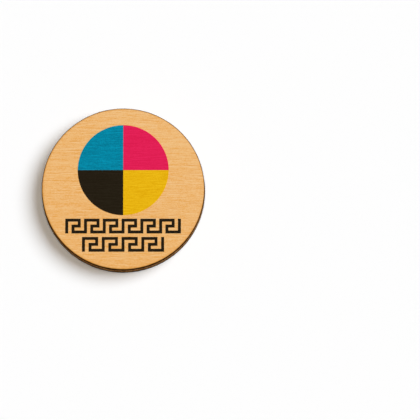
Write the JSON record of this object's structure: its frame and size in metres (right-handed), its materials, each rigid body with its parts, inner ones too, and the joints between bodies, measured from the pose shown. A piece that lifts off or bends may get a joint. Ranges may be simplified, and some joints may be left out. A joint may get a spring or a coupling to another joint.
{
  "type": "game piece",
  "caption": "Thin round plywood game piece with a quartered colour roundel and key-pattern bands printed on its face and a bare back to rest on.",
  "frame": {"origin": "centre of the bare back, on the surface that the piece rests on", "axes": "+Z out of the printed face, +Y towards the top of the print, +X along the grain of the face"},
  "size_m": [0.0322, 0.0322, 0.004],
  "materials": {
    "face_wood": "sanded bare veneer with fine straight grain, scorched at the cut edge",
    "core_wood": "laser-charred cross-grain edge",
    "back_wood": "sanded bare veneer with fine straight grain, scorched at the cut edge",
    "glue": "cured resin glue, burnt dark at the cut edge",
    "cyan_ink": "thin satin ink film over grain",
    "magenta_ink": "thin satin ink film over grain",
    "yellow_ink": "thin satin ink film over grain",
    "black_ink": "thin satin ink film over grain"
  },
  "bodies": {
    "root": {"back_veneer": "back_wood", "back_glue_line": "glue", "core_veneer": "core_wood", "face_glue_line": "glue", "face_veneer": "face_wood", "magenta_ink_quarter": "magenta_ink", "cyan_ink_quarter": "cyan_ink", "black_ink_quarter": "black_ink", "yellow_ink_quarter": "yellow_ink", "upper_key_band": "black_ink", "lower_key_band": "black_ink"}
  },
  "joints": []
}
